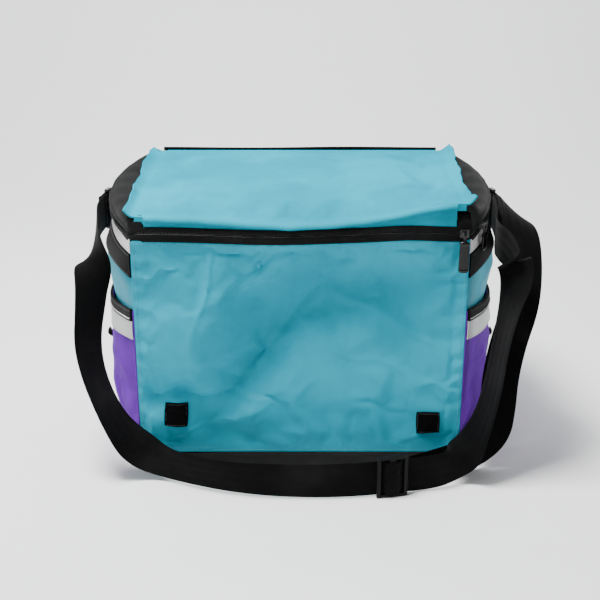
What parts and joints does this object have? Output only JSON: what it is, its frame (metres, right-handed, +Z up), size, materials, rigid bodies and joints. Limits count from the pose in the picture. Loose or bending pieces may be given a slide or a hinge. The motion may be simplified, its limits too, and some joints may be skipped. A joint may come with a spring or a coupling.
{
  "type": "insulated lunch cooler bag",
  "caption": "Soft insulated lunch cooler with a zipped padded lid, side pockets, reflective trim and an adjustable clip-on shoulder strap.",
  "frame": {"origin": "on the floor, under the middle of the bag's base", "axes": "+X to the bag's right as seen from the front, the front faces -Y, +Z up"},
  "size_m": [0.4879, 0.3454, 0.3038],
  "materials": {
    "teal_fabric": "matte",
    "purple_fabric": "matte",
    "base_fabric": "matte",
    "black_webbing": "matte",
    "light_reflective": "satin",
    "grey_reflective": "satin",
    "zipper_tape": "matte",
    "zipper_coil": "satin",
    "slider_metal": "satin",
    "black_plastic": "gloss",
    "foam": "matte",
    "board": "matte",
    "liner": "satin",
    "hook_loop": "matte"
  },
  "bodies": {
    "root": {"front_panel": "teal_fabric", "back_panel": "teal_fabric", "left_side_panel": "teal_fabric", "right_side_panel": "teal_fabric", "base_panel": "base_fabric", "base_board": "board", "base_foam": "foam", "front_foam": "foam", "back_foam": "foam", "left_foam": "foam", "right_foam": "foam", "liner_tub": "liner", "left_reflective_tape": "light_reflective", "right_reflective_tape": "light_reflective", "left_webbing_band": "black_webbing", "right_webbing_band": "black_webbing", "left_pocket": "purple_fabric", "right_pocket": "purple_fabric", "left_pocket_tape": "grey_reflective", "right_pocket_tape": "grey_reflective", "left_pocket_binding": "black_webbing", "right_pocket_binding": "black_webbing", "left_pocket_tab": "black_webbing", "right_pocket_tab": "black_webbing", "left_fastener_square": "hook_loop", "right_fastener_square": "hook_loop", "lower_zipper_tape": "zipper_tape", "lower_zipper_coil": "zipper_coil", "zipper_end_stops": "slider_metal", "back_binding": "black_webbing", "left_ring_tab": "black_webbing", "right_ring_tab": "black_webbing", "shoulder_strap": "black_webbing", "strap_inner_run": "black_webbing", "strap_outer_run": "black_webbing", "tri_glide": "black_plastic"},
    "lid": {"lid_panel": "teal_fabric", "lid_foam": "foam", "lid_liner": "liner", "lid_front_strip": "teal_fabric", "lid_left_gusset": "zipper_tape", "lid_right_gusset": "zipper_tape", "upper_zipper_tape": "zipper_tape", "upper_zipper_coil": "zipper_coil"},
    "front_slider": {"front_slider": "slider_metal"},
    "front_pull": {"front_pull": "black_plastic"},
    "side_slider": {"side_slider": "slider_metal"},
    "side_pull": {"side_pull": "black_plastic"},
    "left_clip": {"left_d_ring": "black_plastic", "left_swivel_eye": "black_plastic"},
    "left_hook": {"left_snap_hook": "black_plastic"},
    "left_gate": {"left_hook_gate": "black_plastic"},
    "right_clip": {"right_d_ring": "black_plastic", "right_swivel_eye": "black_plastic"},
    "right_hook": {"right_snap_hook": "black_plastic"},
    "right_gate": {"right_hook_gate": "black_plastic"}
  },
  "joints": [
    {"name": "lid_hinge", "type": "hinge", "parent": "root", "child": "lid", "pos_m": [0, 0.1385, 0.291], "axis": [-1, 0, 0], "range_deg": [0, 110]},
    {"name": "front_slider_travel", "type": "slide", "parent": "root", "child": "front_slider", "axis": [-1, 0, 0], "range_m": [0, 0.32]},
    {"name": "front_pull_hinge", "type": "hinge", "parent": "front_slider", "child": "front_pull", "pos_m": [0.164, -0.1448, 0.2629], "axis": [-1, 0, 0], "range_deg": [0, 150]},
    {"name": "side_slider_travel", "type": "hinge", "parent": "root", "child": "side_slider", "pos_m": [-0.0765, 0, 0.2749], "axis": [0, -0.0866, 0.9962], "range_deg": [0, 28]},
    {"name": "side_pull_hinge", "type": "hinge", "parent": "side_slider", "child": "side_pull", "pos_m": [0.18729, -0.11835, 0.26461], "axis": [-0.4106, -0.9084, -0.079], "range_deg": [0, 130]},
    {"name": "left_clip_swing", "type": "hinge", "parent": "root", "child": "left_clip", "pos_m": [-0.2055, 0.08, 0.243], "axis": [0, 0, -1], "range_deg": [0, 45], "deforming": ["shoulder_strap"]},
    {"name": "left_hook_swivel", "type": "hinge", "parent": "left_clip", "child": "left_hook", "pos_m": [-0.21487, 0.0696, 0.243], "axis": [-0.2079, -0.9781, 0], "range_deg": [-12, 12]},
    {"name": "left_gate_hinge", "type": "hinge", "parent": "left_hook", "child": "left_gate", "pos_m": [-0.22317, 0.05746, 0.243], "axis": [0, 0, -1], "range_deg": [0, 20], "stiffness_Nm_per_rad": 0.01, "springref_deg": -17.19},
    {"name": "right_clip_swing", "type": "hinge", "parent": "root", "child": "right_clip", "pos_m": [0.2055, 0.08, 0.243], "axis": [0, 0, 1], "range_deg": [0, 45], "deforming": ["strap_inner_run", "strap_outer_run"]},
    {"name": "right_hook_swivel", "type": "hinge", "parent": "right_clip", "child": "right_hook", "pos_m": [0.21487, 0.0696, 0.243], "axis": [0.2079, -0.9781, 0], "range_deg": [-12, 12]},
    {"name": "right_gate_hinge", "type": "hinge", "parent": "right_hook", "child": "right_gate", "pos_m": [0.22317, 0.05746, 0.243], "axis": [0, 0, 1], "range_deg": [0, 20], "stiffness_Nm_per_rad": 0.01, "springref_deg": -17.19}
  ]
}
